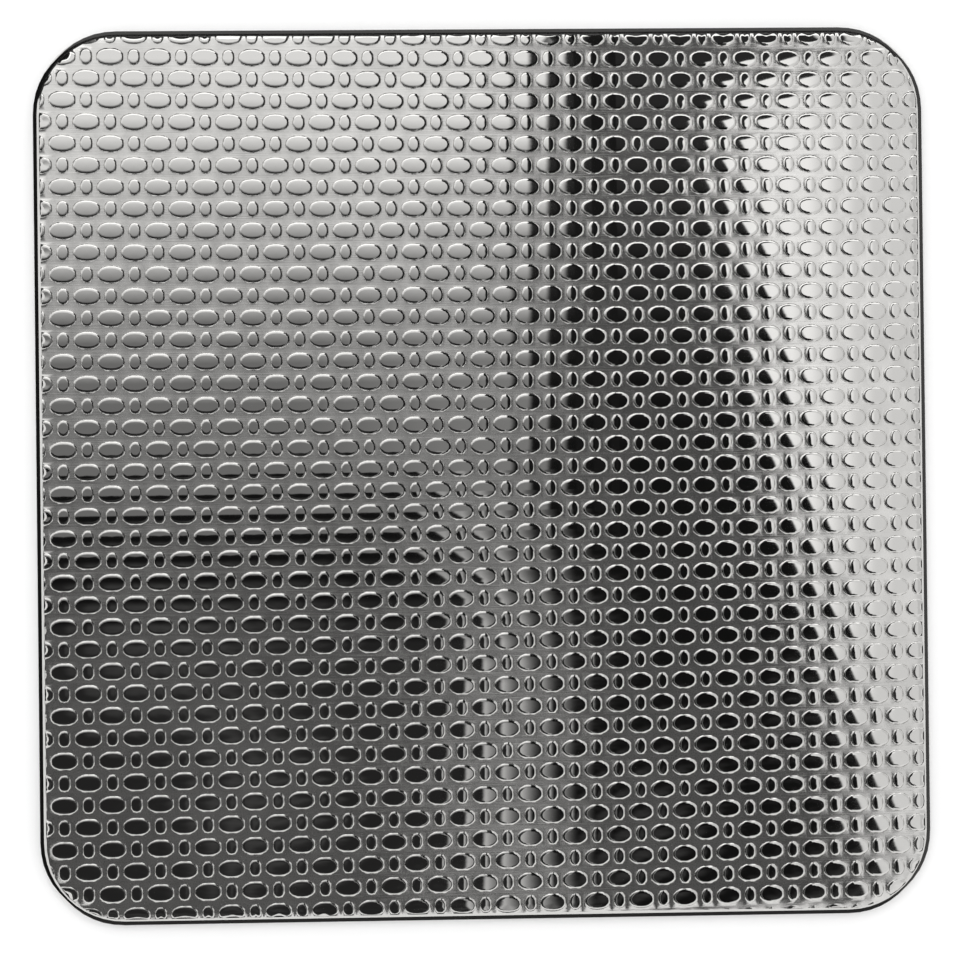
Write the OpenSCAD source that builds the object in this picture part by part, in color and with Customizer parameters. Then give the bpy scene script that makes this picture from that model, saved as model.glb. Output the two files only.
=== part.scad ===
// Embossed stainless steel sheet: a square of sheet steel with its edge turned down all round
// and an embossed field raised over its face. It lies on the rim of its turned edge, with the
// origin at the middle of its underside and Z up.

/* [Sheet] */
// Width of the sheet over its turned edges, along X
sheet_w = 101.6; // [60:0.1:200]
// Length of the sheet over its turned edges, along Y
sheet_l = 101.6; // [60:0.1:200]
// Thickness of the steel
gauge = 0.7; // [0.5:0.05:1]
// Outside radius of the corners, seen from above
corner_r = 9.5; // [5:0.1:20]

/* [Turned edge] */
// Outside radius of the bend that turns the edges down
bend_r = 1.7; // [1.2:0.1:3]
// Depth of the turned edge, from the face down to its rim
edge_h = 3; // [3:0.1:8]

/* [Embossing] */
// Height of the embossed field over the face
boss_h = 0.4; // [0.2:0.05:0.6]
// Flat strip between the embossed field and the bend
border = 0.2; // [0.1:0.05:1]

/* [Hidden] */
$fn = 48;
field_inset = bend_r + border;

module rounded_rectangle(w, l, r) {
    square([w - 2 * r, l], center = true);
    square([w, l - 2 * r], center = true);
    for (x = [-1, 1], y = [-1, 1])
        translate([x * (w / 2 - r), y * (l / 2 - r)])
            circle(r);
}

// Right half of a section with its upper outer corner rounded, from the middle out to x
module half_section(x, h, r) {
    square([x, h - r]);
    square([x - r, h]);
    translate([x - r, h - r])
        intersection() {
            circle(r);
            translate([-r / 2, -r / 2])
                square(3 * r / 2);
        }
}

module bar(length, width, h, r) {
    rotate([90, 0, 90])
        translate([0, 0, -length / 2])
            linear_extrude(length)
                for (side = [0, 1])
                    mirror([side, 0])
                        half_section(width / 2, h, r);
}

// Solid block with rounded corners and a rounded upper edge
module rounded_block(w, l, h, corner, bend) {
    bar(w - 2 * corner, l, h, bend);
    rotate(90)
        bar(l - 2 * corner, w, h, bend);
    for (x = [-1, 1], y = [-1, 1])
        translate([x * (w / 2 - corner), y * (l / 2 - corner), 0])
            rotate_extrude()
                half_section(corner, h, bend);
}

module embossed_sheet() {
    color("silver") {
        difference() {
            rounded_block(sheet_w, sheet_l, edge_h, corner_r, bend_r);
            translate([0, 0, -gauge])
                rounded_block(sheet_w - 2 * gauge, sheet_l - 2 * gauge, edge_h,
                              corner_r - gauge, bend_r - gauge);
        }
        translate([0, 0, edge_h - gauge / 2])
            linear_extrude(gauge / 2 + boss_h)
                rounded_rectangle(sheet_w - 2 * field_inset, sheet_l - 2 * field_inset,
                                  corner_r - field_inset);
    }
}

embossed_sheet();
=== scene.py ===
"""Looks of the embossed stainless steel sheet: its raised bosses, its turned edge, its brushed and
polished finish, and a pale studio stage with a camera that looks down on it."""

import math
from types import SimpleNamespace

import bmesh
import bpy
import numpy as np
from bpy.props import FloatProperty, FloatVectorProperty, PointerProperty
from mathutils import Matrix, Vector


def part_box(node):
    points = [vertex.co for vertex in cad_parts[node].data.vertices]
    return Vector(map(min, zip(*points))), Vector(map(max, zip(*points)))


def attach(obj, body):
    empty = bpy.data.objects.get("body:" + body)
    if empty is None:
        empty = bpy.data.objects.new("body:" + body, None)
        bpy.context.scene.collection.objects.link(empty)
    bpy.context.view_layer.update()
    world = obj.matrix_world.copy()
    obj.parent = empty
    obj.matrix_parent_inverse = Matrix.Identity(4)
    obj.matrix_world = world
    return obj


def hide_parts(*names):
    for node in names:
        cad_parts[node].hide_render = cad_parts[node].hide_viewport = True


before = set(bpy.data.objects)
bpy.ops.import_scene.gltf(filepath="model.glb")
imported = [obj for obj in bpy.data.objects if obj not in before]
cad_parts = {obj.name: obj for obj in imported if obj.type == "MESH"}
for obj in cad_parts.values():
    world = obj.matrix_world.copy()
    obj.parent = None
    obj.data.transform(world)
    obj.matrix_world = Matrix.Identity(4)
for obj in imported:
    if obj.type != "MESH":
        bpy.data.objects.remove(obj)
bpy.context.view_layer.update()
NODE = "embossed_sheet"
PIECE = "embossed_steel"
BODY = "root"
SHEET_LOW, SHEET_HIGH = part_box(NODE)
MM = 0.001
BOSS_HEIGHT = 0.4

bl_info = {
    "name": "Embossed Steel Sheet",
    "version": (1, 0, 0),
    "blender": (4, 5, 0),
    "location": "View3D > Sidebar > Embossed Sheet",
    "description": "Models an embossed stainless steel sheet with a turned edge, and its stage",
    "category": "Object",
}


def length(name, description, millimetres):
    """A length property, with its default given in millimetres."""
    return FloatProperty(
        name=name, description=description, default=millimetres * MM,
        min=0, precision=5, subtype="DISTANCE", unit="LENGTH",
    )


def share(name, description, default):
    """A property from none to all."""
    return FloatProperty(
        name=name, description=description, default=default, min=0, max=1, subtype="FACTOR"
    )


def colour(name, description, default):
    """A colour property, in linear red, green and blue."""
    return FloatVectorProperty(
        name=name, description=description, default=default, min=0, max=1, size=3, subtype="COLOR"
    )


class SheetSizes(bpy.types.PropertyGroup):
    """Sizes of the sheet and of its embossing."""

    width: length("Width", "Over the turned edges, along X", (SHEET_HIGH.x - SHEET_LOW.x) / MM)
    depth: length("Length", "Over the turned edges, along Y", (SHEET_HIGH.y - SHEET_LOW.y) / MM)
    face_z: length(
        "Face", "Height of the face over the floor", (SHEET_HIGH.z - SHEET_LOW.z) / MM - BOSS_HEIGHT
    )
    gauge: length("Gauge", "Thickness of the steel", 0.7)
    corner: length("Corner", "Outside radius of the corners, seen from above", 9.5)
    bend: length("Bend", "Outside radius of the bend that turns the edges down", 1.7)
    boss_height: length("Boss height", "Height of the bosses over the face", BOSS_HEIGHT)
    pitch: length("Pitch", "From one long boss to the next along a row", 5.13)
    row_pitch: length("Row pitch", "From one row of bosses to the next", 2.468)
    long_boss: length("Long boss", "Length of the long bosses at their foot", 3.02)
    short_boss: length("Short boss", "Length of the short bosses at their foot", 1.42)
    boss_width: length("Boss width", "Width of the long bosses at their foot", 2.06)
    short_width: length("Short boss width", "Width of the short bosses at their foot", 1.94)
    wall: length("Wall", "Width and height of the steep foot of a boss", 0.055)
    shoulder: length("Shoulder", "Width of the rounded shoulder over the wall", 0.34)
    crown: length("Crown", "Rise of a boss over its shoulder", 0.05)
    fillet: length("Fillet", "Rise of the face towards the foot of a boss", 0.022)
    reach: length("Reach", "How far onto the bend the bosses go before they are cut off", 0.89)


class SheetPattern(bpy.types.PropertyGroup):
    """Place of the pattern on the sheet."""

    start: FloatVectorProperty(
        name="Start", description="Centre of a long boss", default=(-0.06 * MM, -1.77 * MM),
        size=2, precision=5, subtype="XYZ", unit="LENGTH",
    )
    lean: FloatVectorProperty(
        name="Lean", description="Shift along X for a length along Y, and along Y for one along X",
        default=(0.0059, 0.0062), size=2, precision=4,
    )
    drift_x: FloatVectorProperty(
        name="Drift along X", description="Shift for each square metre of XX, XY and YY, in metres",
        default=(-0.655, -0.02, -0.012), size=3,
    )
    drift_y: FloatVectorProperty(
        name="Drift along Y", description="Shift for each square metre of XX, XY and YY, in metres",
        default=(0.085, -0.29, -0.15), size=3,
    )


class SteelFinish(bpy.types.PropertyGroup):
    """Finish of the steel."""

    steel: colour("Steel", "Colour of the steel", (0.68, 0.672, 0.655))
    polish: share("Polish", "Roughness of the polished crowns", 0.06)
    satin: share("Satin", "Roughness of the brushed face along its grain", 0.11)
    bare: share("Bare metal", "How metallic the brushed face is", 0.922)
    grain: length("Grain", "Depth of the brushed grain", 0.0115)
    grain_width: length("Grain width", "Width of one brush line", 0.04)
    ripple: length("Ripple", "Height of the waviness left by forming", 0.002)


class StageSettings(bpy.types.PropertyGroup):
    """Floor, light and camera."""

    floor: colour("Floor", "Colour of the floor", (0.92, 0.92, 0.92))
    world: FloatProperty(
        name="Surroundings", description="Strength of the white surroundings", default=1.0
    )
    lamp: FloatProperty(
        name="Lamp", description="Power of the soft lamp", default=0.8, subtype="POWER", unit="POWER"
    )
    lamp_size: length("Lamp size", "Side of the soft lamp", 300)
    lamp_place: FloatVectorProperty(
        name="Lamp place", description="Place of the soft lamp, which is aimed at the sheet",
        default=(-60 * MM, 120 * MM, 550 * MM), size=3, subtype="XYZ", unit="LENGTH",
    )
    screen_z: length("Screen height", "Height of the screen that the steel mirrors", 60)
    eye: FloatVectorProperty(
        name="Eye", description="Place of the camera over the sheet",
        default=(-17.53 * MM, -3.35 * MM, 401.5 * MM), size=3, subtype="XYZ", unit="LENGTH",
    )
    aim_z: length("Aim", "Height of the point that the camera looks at", 1.5)
    roll: FloatProperty(
        name="Roll", description="Turn of the camera about its view", default=math.radians(-0.658),
        subtype="ANGLE", unit="ROTATION",
    )
    lens: FloatProperty(
        name="Lens", description="Focal length", default=131.57,
        subtype="DISTANCE_CAMERA", unit="CAMERA",
    )
    shift: FloatVectorProperty(
        name="Shift", description="Shift of the picture, as a share of its width",
        default=(-0.0037, -0.0065), size=2,
    )


def in_millimetres(group):
    """The lengths of a property group in the millimetres that the modelling works in."""
    return SimpleNamespace(**{name: getattr(group, name) / MM for name in group.__annotations__})


# Modelling, in millimetres

OVAL_POWER = 2.3  # 2 is an ellipse, more is fuller
END_INSET = 0.84  # share of a ring's inset that the ends of an oval get
SHORT_CROWN = 0.8  # rise of a short crown, as a share of a long one's
LONG_SIDES, SHORT_SIDES, HOLLOW_SIDES = 16, 12, 6
LONG_CUTS, SHORT_CUTS, HOLLOW_CUTS = (4, 4), (2, 4), (1, 1)
HOLLOW_WALL, HOLLOW_ROOF = 0.2, 0.05  # how much smaller a hollow is than its boss
SPARE_CELLS, SPARE_ROWS = 2, 1  # past each side of the sheet, before it is trimmed
BEND_RINGS = (0.35, 0.7, 1.05, 1.4)  # back from where the bend ends
EDGE_GAP = 0.1  # between the trimmed pattern and the plain strip
POLISHED_BEND = (0.6, 1.2)  # where on the bend the brushed face turns to polish
SMOOTH_ANGLE = math.radians(38)
CROWN_SHARE = 0.75  # relief from which a face is part of a crown
NEAR, NEAR_CELLS = 1e-4, 0.01  # points that are closer are one


def edit(obj):
    """Makes obj the one object that the operators act on, in edit mode."""
    bpy.ops.object.select_all(action="DESELECT")
    bpy.context.view_layer.objects.active = obj
    obj.select_set(True)
    bpy.ops.object.mode_set(mode="EDIT")


def select_points(obj, test):
    """Selects the points of obj that pass the test, and what lies between them."""
    bpy.ops.mesh.select_all(action="DESELECT")
    mesh = bmesh.from_edit_mesh(obj.data)
    for point in mesh.verts:
        point.select_set(test(point.co))
    mesh.select_flush(True)
    bmesh.update_edit_mesh(obj.data)


def select_rims(obj, test):
    """Selects the open edges of obj whose points both pass the test."""
    bpy.ops.mesh.select_all(action="DESELECT")
    mesh = bmesh.from_edit_mesh(obj.data)
    for edge in mesh.edges:
        if edge.is_boundary and all(test(point.co) for point in edge.verts):
            edge.select_set(True)
    bmesh.update_edit_mesh(obj.data)


def points_of(obj):
    """The points of obj as an array."""
    flat = np.empty(3 * len(obj.data.vertices))
    obj.data.vertices.foreach_get("co", flat)
    return flat.reshape(-1, 3)


def move_points(obj, points):
    """Puts the points of obj at new places."""
    obj.data.vertices.foreach_set("co", np.asarray(points).ravel())
    obj.data.update()


def fill_out(obj, oval, power=OVAL_POWER):
    """Makes the selected ellipse a fuller oval of the same length and width."""
    mesh = bmesh.from_edit_mesh(obj.data)
    for point in mesh.verts:
        if point.select:
            x, y = abs(point.co.x) / oval[0] * 2, abs(point.co.y) / oval[1] * 2
            fuller = (x ** power + y ** power) ** (-1 / power)
            point.co.x *= fuller
            point.co.y *= fuller
    bmesh.update_edit_mesh(obj.data)


def oval_cell(name, cell, cuts, oval, z, rings, tip):
    """One cell of the pattern: a rectangle round an oval foot, with rings going in and up to a tip.

    The oval is its length, its width and its number of sides. Each ring is its distance in from
    the foot, less along X, and its height over the foot."""
    bpy.ops.object.select_all(action="DESELECT")
    bpy.ops.mesh.primitive_grid_add(x_subdivisions=cuts[0], y_subdivisions=cuts[1], size=1)
    obj = bpy.context.object
    obj.name = name
    edit(obj)
    bpy.ops.mesh.select_all(action="SELECT")
    bpy.ops.transform.resize(value=(cell[0], cell[1], 1), center_override=(0, 0, 0))
    bpy.ops.mesh.dissolve_faces()
    bpy.ops.mesh.delete(type="ONLY_FACE")
    bpy.ops.mesh.primitive_circle_add(vertices=oval[2], radius=0.5, location=(0, 0, z))
    bpy.ops.transform.resize(value=(oval[0], oval[1], 1), center_override=(0, 0, z))
    fill_out(obj, oval)
    bpy.ops.mesh.select_all(action="SELECT")
    bpy.ops.mesh.bridge_edge_loops()
    select_points(obj, lambda co: abs(co.z - z) < NEAR)
    size, height = oval[:2], 0
    narrow = END_INSET * min(math.sqrt(oval[0] / oval[1]), 1)
    for inset, rise in rings:
        new_size = [oval[0] - 2 * inset * narrow, oval[1] - 2 * inset]
        bpy.ops.mesh.extrude_edges_move(TRANSFORM_OT_translate={"value": (0, 0, rise - height)})
        bpy.ops.transform.resize(
            value=(new_size[0] / size[0], new_size[1] / size[1], 1),
            center_override=(0, 0, z + rise),
        )
        size, height = new_size, rise
    bpy.ops.mesh.extrude_edges_move(TRANSFORM_OT_translate={"value": (0, 0, tip - height)})
    bpy.ops.mesh.merge(type="CENTER")
    bpy.ops.object.mode_set(mode="OBJECT")
    return obj


def join(obj, *others):
    """Makes the others part of obj."""
    bpy.ops.object.select_all(action="DESELECT")
    for other in (obj, *others):
        other.select_set(True)
    bpy.context.view_layer.objects.active = obj
    bpy.ops.object.join()


def slide(obj, x, y):
    """Moves all points of obj."""
    edit(obj)
    bpy.ops.mesh.select_all(action="SELECT")
    bpy.ops.transform.translate(value=(x, y, 0))
    bpy.ops.object.mode_set(mode="OBJECT")


def repeat(obj, count, step):
    """Copies the mesh of obj in a row."""
    bpy.ops.object.select_all(action="DESELECT")
    bpy.context.view_layer.objects.active = obj
    array = obj.modifiers.new("repeat", "ARRAY")
    array.count = count
    array.use_relative_offset = False
    array.use_constant_offset = True
    array.constant_offset_displace = step
    bpy.ops.object.modifier_apply(modifier=array.name)


def pattern_field(long_cell, short_cell, s):
    """Staggered rows of long and short cells, over more than the sheet and centred on a long one."""
    slide(short_cell, s.pitch / 2, 0)
    join(long_cell, short_cell)
    edit(long_cell)
    bpy.ops.mesh.select_all(action="SELECT")
    bpy.ops.mesh.duplicate_move(TRANSFORM_OT_translate={"value": (s.pitch / 2, s.row_pitch, 0)})
    bpy.ops.object.mode_set(mode="OBJECT")
    across = math.ceil(s.width / s.pitch / 2) + SPARE_CELLS
    along = math.ceil(s.depth / s.row_pitch / 4) + SPARE_ROWS
    repeat(long_cell, 2 * across + 1, (s.pitch, 0, 0))
    repeat(long_cell, 2 * along + 1, (0, 2 * s.row_pitch, 0))
    edit(long_cell)
    bpy.ops.mesh.select_all(action="SELECT")
    bpy.ops.mesh.remove_doubles(threshold=NEAR_CELLS)
    bpy.ops.object.mode_set(mode="OBJECT")
    slide(long_cell, -across * s.pitch, -2 * along * s.row_pitch)
    return long_cell


def outside(points, s):
    """How far each point lies outside the flat face, its way out, and where that leaves the face."""
    core = np.array([s.width / 2 - s.corner, s.depth / 2 - s.corner])
    plane = points[:, :2]
    inner = np.clip(plane, -core, core)
    away = plane - inner
    reach = np.linalg.norm(away, axis=1)
    out = away / np.maximum(reach, 1e-9)[:, None]
    radius = s.corner - s.bend
    return reach - radius, out, inner + out * radius


def smooth_step(values, low, high):
    """From 0 at low to 1 at high, with no kink."""
    t = np.clip((values - low) / (high - low), 0, 1)
    return t * t * (3 - 2 * t)


def trim(obj, s, corner_cuts=8):
    """Cuts obj to the rounded outline at which the bosses end, one straight cut after another."""
    radius = s.corner - s.bend + s.reach
    core = Vector((s.width / 2 - s.corner, s.depth / 2 - s.corner, 0))
    edit(obj)
    for quarter in range(4):
        for cut in range(corner_cuts + 1):
            turn = math.radians(90 * (quarter + cut / (corner_cuts + 1)))
            out = Vector((math.cos(turn), math.sin(turn), 0))
            centre = Vector((math.copysign(core.x, out.x), math.copysign(core.y, out.y), 0))
            bpy.ops.mesh.select_all(action="SELECT")
            bpy.ops.mesh.bisect(
                plane_co=centre + out * radius, plane_no=out, clear_outer=True, threshold=NEAR
            )
    bpy.ops.object.mode_set(mode="OBJECT")


def edge_blank(s, z, corner_cuts=12, side_cuts=31):
    """The flat strip that is turned down into the edge of the sheet, as rings from the rim inwards."""
    bent = s.bend * math.pi / 2
    rim = bent + s.face_z - s.bend
    on_bend = [bent - back for back in BEND_RINGS]
    rings = [rim, (rim + bent) / 2, bent, *on_bend, s.reach + EDGE_GAP]
    bpy.ops.object.select_all(action="DESELECT")
    bpy.ops.mesh.primitive_plane_add(size=1, location=(0, 0, z))
    obj = bpy.context.object
    edit(obj)
    bpy.ops.transform.resize(
        value=(s.width - 2 * s.bend + 2 * rim, s.depth - 2 * s.bend + 2 * rim, 1),
        center_override=(0, 0, z),
    )
    bpy.ops.object.mode_set(mode="OBJECT")
    bpy.ops.object.transform_apply(location=True, rotation=True, scale=True)
    edit(obj)
    bpy.ops.mesh.select_all(action="SELECT")
    bpy.ops.mesh.bevel(
        offset=s.corner - s.bend + rim, segments=corner_cuts, profile=0.5,
        affect="VERTICES", clamp_overlap=False,
    )
    mesh = bmesh.from_edit_mesh(obj.data)
    for edge in mesh.edges:
        edge.select_set(edge.calc_length() > s.width / 2)
    bmesh.update_edit_mesh(obj.data)
    bpy.ops.mesh.subdivide(number_cuts=side_cuts)
    bpy.ops.mesh.select_all(action="SELECT")
    for outer, inner in zip(rings, rings[1:]):
        bpy.ops.mesh.inset(thickness=outer - inner, use_even_offset=True)
    bpy.ops.mesh.delete(type="ONLY_FACE")
    bpy.ops.object.mode_set(mode="OBJECT")
    return obj


def turn_edge_down(obj, s):
    """Turns what lies outside the flat face round the bend and down. Bosses stay upright on it."""
    points = points_of(obj)
    distance, out, foot = outside(points, s)
    layer = np.where(points[:, 2] < -s.gauge / 4, -s.gauge, 0)
    turn = np.clip(distance / s.bend, 0, math.pi / 2)
    leg = np.maximum(distance - s.bend * math.pi / 2, 0)
    bent = points.copy()
    bent[:, :2] = foot + out * ((s.bend + layer) * np.sin(turn))[:, None]
    bent[:, 2] += s.face_z - s.bend - layer + (s.bend + layer) * np.cos(turn) - leg
    flat = points + [0, 0, s.face_z]
    move_points(obj, np.where((distance > 0)[:, None], bent, flat))


def embossed_blank(s):
    """The embossed face of the sheet and the hollows behind its bosses, before anything is trimmed."""
    top = s.boss_height - s.fillet
    foot, inner = (s.wall, s.wall), s.wall + s.shoulder
    long_cell = oval_cell(
        PIECE, (s.pitch * 2 / 3, s.row_pitch), LONG_CUTS,
        (s.long_boss, s.boss_width, LONG_SIDES), s.fillet, [foot, (inner, top - s.crown)], top,
    )
    short_cell = oval_cell(
        "short", (s.pitch / 3, s.row_pitch), SHORT_CUTS,
        (s.short_boss, s.short_width, SHORT_SIDES), s.fillet,
        [foot, (inner, top - SHORT_CROWN * s.crown)], top,
    )
    face = pattern_field(long_cell, short_cell, s)
    narrow = 2 * s.shoulder + HOLLOW_WALL
    hollows = [
        oval_cell(
            name, (s.pitch / 2, s.row_pitch), HOLLOW_CUTS,
            (boss - narrow, s.boss_width - narrow, HOLLOW_SIDES), -s.gauge, [],
            s.boss_height - HOLLOW_ROOF,
        )
        for name, boss in (("back", s.long_boss), ("short", s.short_boss))
    ]
    back = pattern_field(*hollows, s)
    relief = face.data.attributes.new("relief", "FLOAT", "POINT")
    relief.data.foreach_set("value", (points_of(face)[:, 2] / s.boss_height).astype(np.float32))
    return face, back


class MESH_OT_embossed_sheet(bpy.types.Operator):
    """Models the embossed sheet with its turned edge, and gives it its steel"""

    bl_idname = "mesh.embossed_sheet"
    bl_label = "Embossed Sheet"

    def execute(self, context):
        s = in_millimetres(context.scene.sheet_sizes)
        pattern = context.scene.sheet_pattern
        face, back = embossed_blank(s)
        edit(back)
        select_points(back, lambda co: abs(co.z) < NEAR)
        bpy.ops.transform.translate(value=(0, 0, -s.gauge))
        bpy.ops.object.mode_set(mode="OBJECT")
        join(face, back)

        points = points_of(face)
        x, y = points[:, 0].copy(), points[:, 1].copy()
        squares = np.stack([x * x, x * y, y * y]) * MM
        drift_x, drift_y = np.array(pattern.drift_x) @ squares, np.array(pattern.drift_y) @ squares
        points[:, 0] += pattern.start[0] / MM + pattern.lean[0] * y + drift_x
        points[:, 1] += pattern.start[1] / MM + pattern.lean[1] * x + drift_y
        move_points(face, points)
        trim(face, s)
        half = -s.gauge / 2
        edit(face)
        for level in (0, -s.gauge):
            select_rims(face, lambda co: (co.z > half) == (level > half))
            bpy.ops.mesh.extrude_edges_move()
            bpy.ops.transform.resize(value=(1, 1, 0), center_override=(0, 0, level))
        bpy.ops.object.mode_set(mode="OBJECT")

        join(face, edge_blank(s, 0), edge_blank(s, -s.gauge))
        edit(face)
        inside = s.reach + 2 * EDGE_GAP
        for side in (lambda co: co.z > half, lambda co: co.z < half):
            select_rims(face, lambda co: side(co) and outside(np.array([co]), s)[0][0] < inside)
            bpy.ops.mesh.fill(use_beauty=True)
        select_rims(face, lambda co: True)
        bpy.ops.mesh.bridge_edge_loops()
        bpy.ops.mesh.select_all(action="SELECT")
        bpy.ops.mesh.remove_doubles(threshold=NEAR)
        bpy.ops.object.mode_set(mode="OBJECT")

        edge = face.data.attributes.new("edge", "FLOAT", "POINT")
        distance, _, _ = outside(points_of(face), s)
        edge.data.foreach_set("value", smooth_step(distance, *POLISHED_BEND).astype(np.float32))
        turn_edge_down(face, s)

        edit(face)
        bpy.ops.mesh.select_all(action="SELECT")
        bpy.ops.mesh.normals_make_consistent(inside=False)
        bpy.ops.transform.resize(value=(MM, MM, MM), center_override=(0, 0, 0))
        bpy.ops.object.mode_set(mode="OBJECT")
        bpy.ops.object.shade_smooth_by_angle(angle=SMOOTH_ANGLE)
        self.level_crowns(face)

        face.data.materials.append(brushed_steel(context.scene.steel_finish))
        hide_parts(NODE)
        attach(face, BODY)
        return {"FINISHED"}

    @staticmethod
    def level_crowns(face):
        """Shades each crown as the shallow dome of its own faces, apart from its shoulder."""
        heights = np.empty(len(face.data.vertices), np.float32)
        face.data.attributes["relief"].data.foreach_get("value", heights)
        edit(face)
        bpy.ops.mesh.select_all(action="DESELECT")
        mesh = bmesh.from_edit_mesh(face.data)
        for panel in mesh.faces:
            panel.select_set(all(heights[point.index] > CROWN_SHARE for point in panel.verts))
        bmesh.update_edit_mesh(face.data)
        bpy.ops.mesh.set_normals_from_faces()
        bpy.ops.object.mode_set(mode="OBJECT")


# Materials

POLISHED_RELIEF = (0.12, 0.5)  # where on a boss the brushed face turns to polish
GRAIN_STRETCH = 0.004  # width of a brush line as a share of its length
FINE_GRAIN, FINE_GRAIN_FROM = 0.5, (0, 0.028)  # the grain is finer from these X on
CLOUD_SCALE, BLOTCH_SCALE, FLOOR_SCALE, ROOM_SCALE = 420.0, 90.0, 40.0, 45.0
UNEVEN = (0.35, 0.65)
TONE_SPREAD, ROUGH_SPREAD, FLOOR_SPREAD = 0.1, 0.06, 0.02
SCREEN_STRENGTH = 1.25  # the brightest that the screen gets


class Wire:
    """A socket of a node tree that takes part in sums."""

    def __init__(self, tree, socket=None):
        self.tree = tree
        self.socket = socket

    def node(self, kind, settings=None, sockets=None, output=0):
        """Adds a node, with its settings first and then the values or wires of its sockets."""
        made = self.tree.nodes.new(kind)
        for name, value in (settings or {}).items():
            setattr(made, name, value)
        for name, value in (sockets or {}).items():
            if isinstance(value, Wire):
                self.tree.links.new(value.socket, made.inputs[name])
            else:
                made.inputs[name].default_value = value
        return Wire(self.tree, made.outputs[output] if len(made.outputs) else None)

    def math(self, operation, first, second):
        """Adds a Math node."""
        return self.node("ShaderNodeMath", {"operation": operation}, {0: first, 1: second})

    def __add__(self, other):
        return self.math("ADD", self, other)

    __radd__ = __add__

    def __sub__(self, other):
        return self.math("SUBTRACT", self, other)

    def __rsub__(self, other):
        return self.math("SUBTRACT", other, self)

    def __mul__(self, other):
        return self.math("MULTIPLY", self, other)

    __rmul__ = __mul__

    def __pow__(self, other):
        return self.math("POWER", self, other)

    def step(self, low, high, smooth=True):
        """From 0 where this is low to 1 where it is high."""
        kind = "SMOOTHSTEP" if smooth else "LINEAR"
        return self.node(
            "ShaderNodeMapRange", {"interpolation_type": kind},
            {"Value": self, "From Min": low, "From Max": high},
        )


def new_material(name):
    """An empty material and the start of its wires."""
    material = bpy.data.materials.new(name)
    material.use_nodes = True
    material.node_tree.nodes.clear()
    return material, Wire(material.node_tree)


def brushed_steel(finish):
    """Stainless steel with a brushed face and polished crowns."""
    material, start = new_material("stainless_steel")
    place = start.node("ShaderNodeTexCoord", output=3)
    relief = start.node("ShaderNodeAttribute", {"attribute_name": "relief"}, output=2)
    edge = start.node("ShaderNodeAttribute", {"attribute_name": "edge"}, output=2)
    polished = 1 - (1 - relief.step(*POLISHED_RELIEF)) * (1 - edge)
    line = finish.grain_width
    grain = start.node("ShaderNodeTexNoise", {"noise_dimensions": "2D"}, {
        "Vector": start.node("ShaderNodeMapping", {}, {
            "Vector": place, "Scale": (GRAIN_STRETCH / line, 1 / line, 1),
        }),
        "Scale": 1.0, "Detail": 1.0,
    })
    cloud = start.node(
        "ShaderNodeTexNoise", {}, {"Vector": place, "Scale": CLOUD_SCALE, "Detail": 3.0}
    )
    blotch = start.node(
        "ShaderNodeTexNoise", {}, {"Vector": place, "Scale": BLOTCH_SCALE, "Detail": 2.0}
    )
    ripple = start.node("ShaderNodeBump", {}, {
        "Strength": 1.0, "Distance": finish.ripple, "Height": cloud,
    })
    along = start.node("ShaderNodeSeparateXYZ", {}, {0: place}, output=0)
    depth = (1 - polished) * (1 - FINE_GRAIN * along.step(*FINE_GRAIN_FROM))
    normal = start.node("ShaderNodeBump", {}, {
        "Strength": 1.0, "Distance": finish.grain, "Height": grain * depth, "Normal": ripple,
    })
    uneven = 0.5 * cloud.step(*UNEVEN) + 0.5 * blotch.step(*UNEVEN)
    tint = start.node("ShaderNodeMix", {"data_type": "RGBA"}, {
        "Factor": polished * 0.5 + (1 - polished) * uneven,
        "A": (*[c * (1 - TONE_SPREAD) for c in finish.steel], 1),
        "B": (*[min(c * (1 + TONE_SPREAD), 1) for c in finish.steel], 1),
    }, output=2)
    rough = finish.satin + (cloud - 0.5) * ROUGH_SPREAD
    surface = start.node("ShaderNodeBsdfPrincipled", {}, {
        "Base Color": tint,
        "Metallic": finish.bare + (1 - finish.bare) * polished,
        "Roughness": rough + polished * (finish.polish - finish.satin),
        "Normal": normal,
    })
    start.node("ShaderNodeOutputMaterial", {}, {"Surface": surface})
    return material


def floor_paint(stage):
    """Matt white paint with a faint unevenness."""
    material, start = new_material("floor_paint")
    place = start.node("ShaderNodeTexCoord", output=3)
    cloud = start.node(
        "ShaderNodeTexNoise", {}, {"Vector": place, "Scale": FLOOR_SCALE, "Detail": 2.0}
    )
    tint = start.node("ShaderNodeMix", {"data_type": "RGBA"}, {
        "Factor": cloud,
        "A": (*stage.floor, 1),
        "B": (*[min(c * (1 + FLOOR_SPREAD), 1) for c in stage.floor], 1),
    }, output=2)
    surface = start.node("ShaderNodeBsdfDiffuse", {}, {"Color": tint})
    start.node("ShaderNodeOutputMaterial", {}, {"Surface": surface})
    return material


def plain_card(strength):
    """Card that the steel mirrors from its front, from black to brighter than white."""
    material, start = new_material("plain_card")
    front = start.node("ShaderNodeEmission", {}, {"Color": (1, 1, 1, 1), "Strength": strength})
    clear = start.node("ShaderNodeBsdfTransparent")
    behind = start.node("ShaderNodeNewGeometry", output="Backfacing")
    surface = start.node("ShaderNodeMixShader", {}, {0: behind, 1: front, 2: clear})
    start.node("ShaderNodeOutputMaterial", {}, {"Surface": surface})
    return material


# Lights of the room on the screen, and where each begins and ends on the flat face, in millimetres

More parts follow.
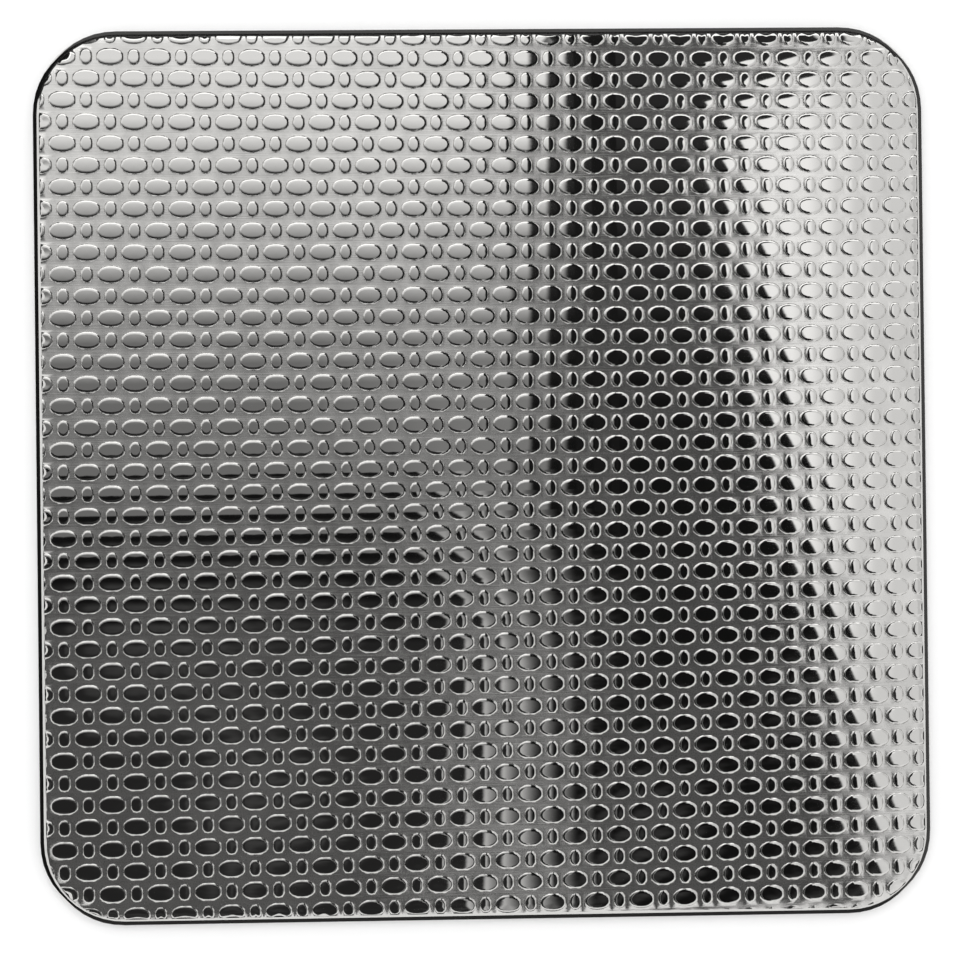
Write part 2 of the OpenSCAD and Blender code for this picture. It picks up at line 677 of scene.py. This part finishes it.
LIGHT = SimpleNamespace(
    dark=0.008, back=0.02, corner=0.014, blotch=0.045,
    window=0.19, window_back=0.78, window_middle=0.06,
    column=0.42, column_front=0.38,
    wall=1.18, wall_inner=0.33, wall_outer=0.15, front=0.8,
)
BACK, FRONT, CORNER_SIDE, BLOTCH = (0, 45), (-9, -20), (2, -6), (0.42, 0.78)
WINDOW_SIDE, WINDOW_FOOT, WINDOW_MIDDLE = (7.8, 4.2), (-4.6, -3.3), (-25, 3)
WINDOW_RISE, WINDOW_POWER, WINDOW_LEAN = (10, 45), 1.25, 0.02
COLUMN_EDGE, COLUMN_FADE, COLUMN_RISE = (-2.2, 0.2), (12, -2), (-6, -24)
COLUMN_HEAD, COLUMN_LEAN = (-15, -4), 6
WALL_SIDE, WALL_LEAN, WALL_INNER, WALL_OUTER = (34.9, 36.5), 0.21, (35, 46), (66, 72)
WALL_HEAD, WALL_SLOPE, WALL_CORNER = (-24.5, -23.3), 0.63, (41, 45)
FRONT_EDGE, FRONT_SIDE = (-64, -76), (28, 34)


def screen_light(stage):
    """Light of the screen over the sheet, laid out as the flat steel below mirrors it."""
    material, start = new_material("screen_light")
    over = (stage.screen_z - SHEET_HIGH.z) / (stage.eye[2] - SHEET_HIGH.z)
    place = start.node("ShaderNodeTexCoord", output=3)
    x = start.node("ShaderNodeSeparateXYZ", {}, {0: place}, output=0)
    y = start.node("ShaderNodeSeparateXYZ", {}, {0: place}, output=1)
    x = (x + stage.eye[0] * over) * (1 / MM / (1 + over))
    y = (y + stage.eye[1] * over) * (1 / MM / (1 + over))
    room = start.node(
        "ShaderNodeTexNoise", {}, {"Vector": place, "Scale": ROOM_SCALE, "Detail": 2.0}
    )
    dim = LIGHT.corner * x.step(*CORNER_SIDE) + LIGHT.blotch * room.step(*BLOTCH)
    dark = LIGHT.dark + LIGHT.back * y.step(*BACK) + dim * y.step(*FRONT)

    rise = y.step(*WINDOW_RISE, smooth=False) ** WINDOW_POWER
    window = LIGHT.window + LIGHT.window_back * rise + LIGHT.window_middle * x.step(*WINDOW_MIDDLE)
    left = (x - WINDOW_LEAN * y).step(*WINDOW_SIDE)
    above = y.step(*WINDOW_FOOT)

    fade = x.step(*COLUMN_FADE, smooth=False) ** 2
    head = COLUMN_LEAN * y.step(*COLUMN_HEAD, smooth=False)
    column = (LIGHT.column + LIGHT.column_front * y.step(*COLUMN_RISE)) * fade
    column = column * (x + head).step(*COLUMN_EDGE)

    below = 1 - (1 - (WALL_SLOPE * x - y).step(*WALL_HEAD)) * (1 - x.step(*WALL_CORNER))
    wall = LIGHT.wall - LIGHT.wall_inner * x.step(*WALL_INNER) - LIGHT.wall_outer * x.step(*WALL_OUTER)
    right = (x + WALL_LEAN * y).step(*WALL_SIDE) * below * wall
    right = right + (1 - right) * LIGHT.front * y.step(*FRONT_EDGE) * x.step(*FRONT_SIDE)

    light = dark + above * left * window + (1 - above) * column + right
    tint = start.node("ShaderNodeMix", {"data_type": "RGBA"}, {
        "Factor": light * (1 / SCREEN_STRENGTH), "A": (0, 0, 0, 1), "B": (1, 1, 1, 1),
    }, output=2)
    surface = start.node("ShaderNodeEmission", {}, {"Color": tint, "Strength": SCREEN_STRENGTH})
    start.node("ShaderNodeOutputMaterial", {}, {"Surface": surface})
    return material


# Stage, in metres

FLOOR_LOW, FLOOR_HIGH = (-2, -2), (2, 2)
SCREEN_LOW, SCREEN_HIGH = (-0.2, -0.125), (0.2, 0.105)
LYING_WIDTH, LYING_GAP = 0.06, 0.0001
LYING_STRENGTHS = SimpleNamespace(left=0.01, right=0.07, front=0.03, back=0.1)
SENSOR_WIDTH, CLIP_START = 36, 0.01


class SCENE_OT_pale_stage(bpy.types.Operator):
    """Sets up the pale floor, the soft light, the cards and the camera"""

    bl_idname = "scene.pale_stage"
    bl_label = "Pale Stage"

    def execute(self, context):
        stage = context.scene.stage_settings
        self.floor(stage)
        self.screen(stage)
        self.cards()
        self.lamp(stage)
        self.world(context.scene, stage)
        self.camera(context.scene, stage)
        context.scene.view_settings.view_transform = "Standard"
        return {"FINISHED"}

    @staticmethod
    def plane(name, low, high, z, material):
        """A flat rectangle at its place in the mesh."""
        bpy.ops.object.select_all(action="DESELECT")
        bpy.ops.mesh.primitive_plane_add(size=1)
        obj = bpy.context.object
        obj.name = name
        obj.location = ((low[0] + high[0]) / 2, (low[1] + high[1]) / 2, z)
        obj.scale = (high[0] - low[0], high[1] - low[1], 1)
        bpy.ops.object.transform_apply(location=True, rotation=True, scale=True)
        obj.data.materials.append(material)
        return obj

    @staticmethod
    def mirror_only(obj):
        """Lets obj be seen in the steel alone."""
        obj.visible_camera = False
        obj.visible_diffuse = False
        obj.visible_shadow = False
        obj.visible_transmission = False
        obj.visible_volume_scatter = False

    def floor(self, stage):
        """Pale floor under the sheet."""
        self.plane("floor", FLOOR_LOW, FLOOR_HIGH, SHEET_LOW.z, floor_paint(stage))

    def screen(self, stage):
        """Screen over the sheet, with the bright and dark areas of a room."""
        light = screen_light(stage)
        self.mirror_only(self.plane("screen", SCREEN_LOW, SCREEN_HIGH, stage.screen_z, light))

    def cards(self):
        """Dark cards that lie round the sheet, and dark and bright ones that stand about it.

        A lying card is its two corners and its strength. A standing one is its middle on the floor,
        its width, its turn in degrees, the heights of its lower and upper edge and its strength."""
        x, y = SHEET_HIGH.x, SHEET_HIGH.y
        wide, strengths = LYING_WIDTH, LYING_STRENGTHS
        lying = {
            "card_left": ((-x - wide, -y - wide), (-x, y + wide), strengths.left),
            "card_right": ((x, -y - wide), (x + wide, y + wide), strengths.right),
            "card_front": ((-x, -y - wide), (x, -y), strengths.front),
            "card_back": ((-x, y), (x, y + wide), strengths.back),
        }
        for name, (low, high, strength) in lying.items():
            card = self.plane(name, low, high, SHEET_LOW.z + LYING_GAP, plain_card(strength))
            self.mirror_only(card)
        standing = {
            "card_behind": ((0, 0.0745), 0.16, 0, (0, 0.0135), 0.015),
            "card_corner": ((-0.078, 0.0745), 0.05, 45, (0, 0.022), 0.015),
            "card_before": ((-0.094, -0.125), 0.212, 0, (0.012, 0.06), 0.02),
            "card_between": ((0.016, 0.0485), 0.113, -90, (0.009, 0.06), 0.012),
            "card_bright": ((-0.015, 0.105), 0.21, 0, (0.016, 0.06), 1.7),
        }
        for name, (centre, width, turn, (bottom, top), strength) in standing.items():
            card = self.plane(name, (-width / 2, bottom), (width / 2, top), 0, plain_card(strength))
            card.data.transform(
                Matrix.Translation((*centre, 0)) @ Matrix.Rotation(math.radians(turn), 4, "Z")
                @ Matrix.Rotation(math.pi / 2, 4, "X")
            )
            self.mirror_only(card)

    @staticmethod
    def lamp(stage):
        """Soft lamp, kept out of the mirrored room."""
        bpy.ops.object.light_add(type="AREA", location=stage.lamp_place)
        lamp = bpy.context.object
        lamp.name = "soft_lamp"
        lamp.rotation_euler = (-lamp.location).to_track_quat("-Z", "Y").to_euler()
        lamp.data.size = stage.lamp_size
        lamp.data.energy = stage.lamp
        lamp.visible_glossy = False

    @staticmethod
    def world(scene, stage):
        """White surroundings."""
        world = bpy.data.worlds.new("white_room")
        world.use_nodes = True
        background = world.node_tree.nodes["Background"]
        background.inputs["Color"].default_value = (1, 1, 1, 1)
        background.inputs["Strength"].default_value = stage.world
        scene.world = world

    @staticmethod
    def camera(scene, stage):
        """Camera that looks down on the sheet."""
        bpy.ops.object.camera_add()
        camera = bpy.context.object
        camera.name = "camera"
        eye = Vector(stage.eye)
        forward = (Vector((0, 0, stage.aim_z)) - eye).normalized()
        right = forward.cross(Vector((0, 1, 0))).normalized()
        axes = Matrix((right, right.cross(forward), -forward)).transposed()
        camera.matrix_world = (
            Matrix.Translation(eye) @ (axes @ Matrix.Rotation(stage.roll, 3, "Z")).to_4x4()
        )
        camera.data.lens = stage.lens
        camera.data.sensor_width = SENSOR_WIDTH
        camera.data.shift_x, camera.data.shift_y = stage.shift
        camera.data.clip_start = CLIP_START
        scene.camera = camera


# Panel and registration


class VIEW3D_PT_embossed_sheet(bpy.types.Panel):
    """Sizes, finish and stage of the embossed sheet"""

    bl_idname = "VIEW3D_PT_embossed_sheet"
    bl_label = "Embossed Sheet"
    bl_space_type = "VIEW_3D"
    bl_region_type = "UI"
    bl_category = "Embossed Sheet"

    def draw(self, context):
        for operator, groups in (
            (MESH_OT_embossed_sheet, ("sheet_sizes", "sheet_pattern", "steel_finish")),
            (SCENE_OT_pale_stage, ("stage_settings",)),
        ):
            self.layout.operator(operator.bl_idname)
            for name in groups:
                group = getattr(context.scene, name)
                for item in group.__annotations__:
                    self.layout.prop(group, item)


GROUPS = {
    "sheet_sizes": SheetSizes,
    "sheet_pattern": SheetPattern,
    "steel_finish": SteelFinish,
    "stage_settings": StageSettings,
}
CLASSES = (*GROUPS.values(), MESH_OT_embossed_sheet, SCENE_OT_pale_stage, VIEW3D_PT_embossed_sheet)


def register():
    """Adds the classes and the scene's settings."""
    for cls in CLASSES:
        bpy.utils.register_class(cls)
    for name, group in GROUPS.items():
        setattr(bpy.types.Scene, name, PointerProperty(type=group))


def unregister():
    """Takes them away again."""
    for name in GROUPS:
        delattr(bpy.types.Scene, name)
    for cls in reversed(CLASSES):
        bpy.utils.unregister_class(cls)


def main():
    """Models the sheet and sets the stage."""
    register()
    bpy.ops.mesh.embossed_sheet()
    bpy.ops.scene.pale_stage()


if __name__ == "__main__":
    main()
